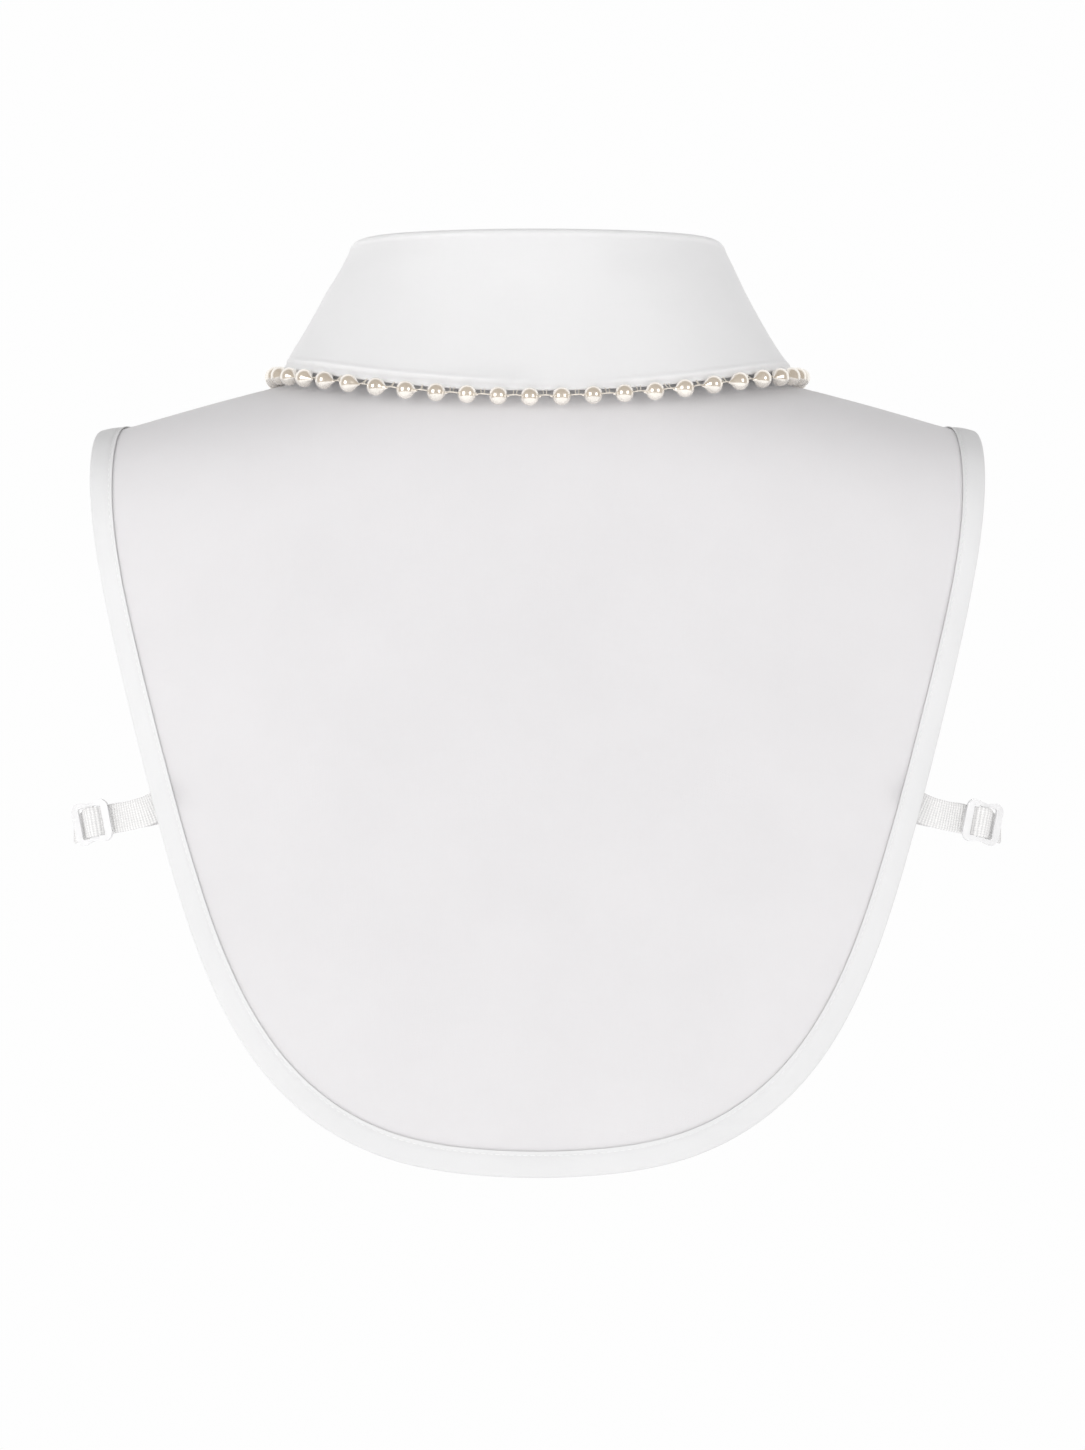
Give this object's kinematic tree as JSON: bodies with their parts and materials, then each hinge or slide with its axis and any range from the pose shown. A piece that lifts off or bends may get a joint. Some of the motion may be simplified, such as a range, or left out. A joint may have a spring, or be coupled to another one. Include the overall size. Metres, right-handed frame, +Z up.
{
  "type": "detachable shirt collar",
  "caption": "Detachable white shirt collar on a sleeveless bib, with a pearl edge on the turned-down collar, bound sides and elastic side straps.",
  "frame": {"origin": "middle of the neck opening, at the height of its two shoulder points", "axes": "+Z up, the wearer faces -Y, +X is the wearer's left"},
  "size_m": [0.3528, 0.2031, 0.3551],
  "materials": {
    "poplin": "plain-weave cotton, one layer, matt",
    "collar_cloth": "plain-weave cotton over a stiffener, matt",
    "binding_tape": "folded cotton strip, matt",
    "elastic": "ribbed woven elastic, matt",
    "slider_plastic": "translucent white, glossy",
    "pearl": "ivory pearl lustre",
    "button_plastic": "white, satin"
  },
  "bodies": {
    "root": {"back_panel": "poplin", "front_panel_left": "poplin", "front_panel_right": "poplin", "collar_stand": "collar_cloth", "collar_fall": "collar_cloth", "binding_back": "binding_tape", "binding_front_left": "binding_tape", "binding_front_right": "binding_tape", "strap_left": "elastic", "strap_right": "elastic", "slider_left": "slider_plastic", "slider_right": "slider_plastic", "pearl_trim": "pearl", "button_1": "button_plastic", "button_2": "button_plastic", "button_3": "button_plastic", "button_4": "button_plastic", "button_5": "button_plastic"}
  },
  "joints": []
}
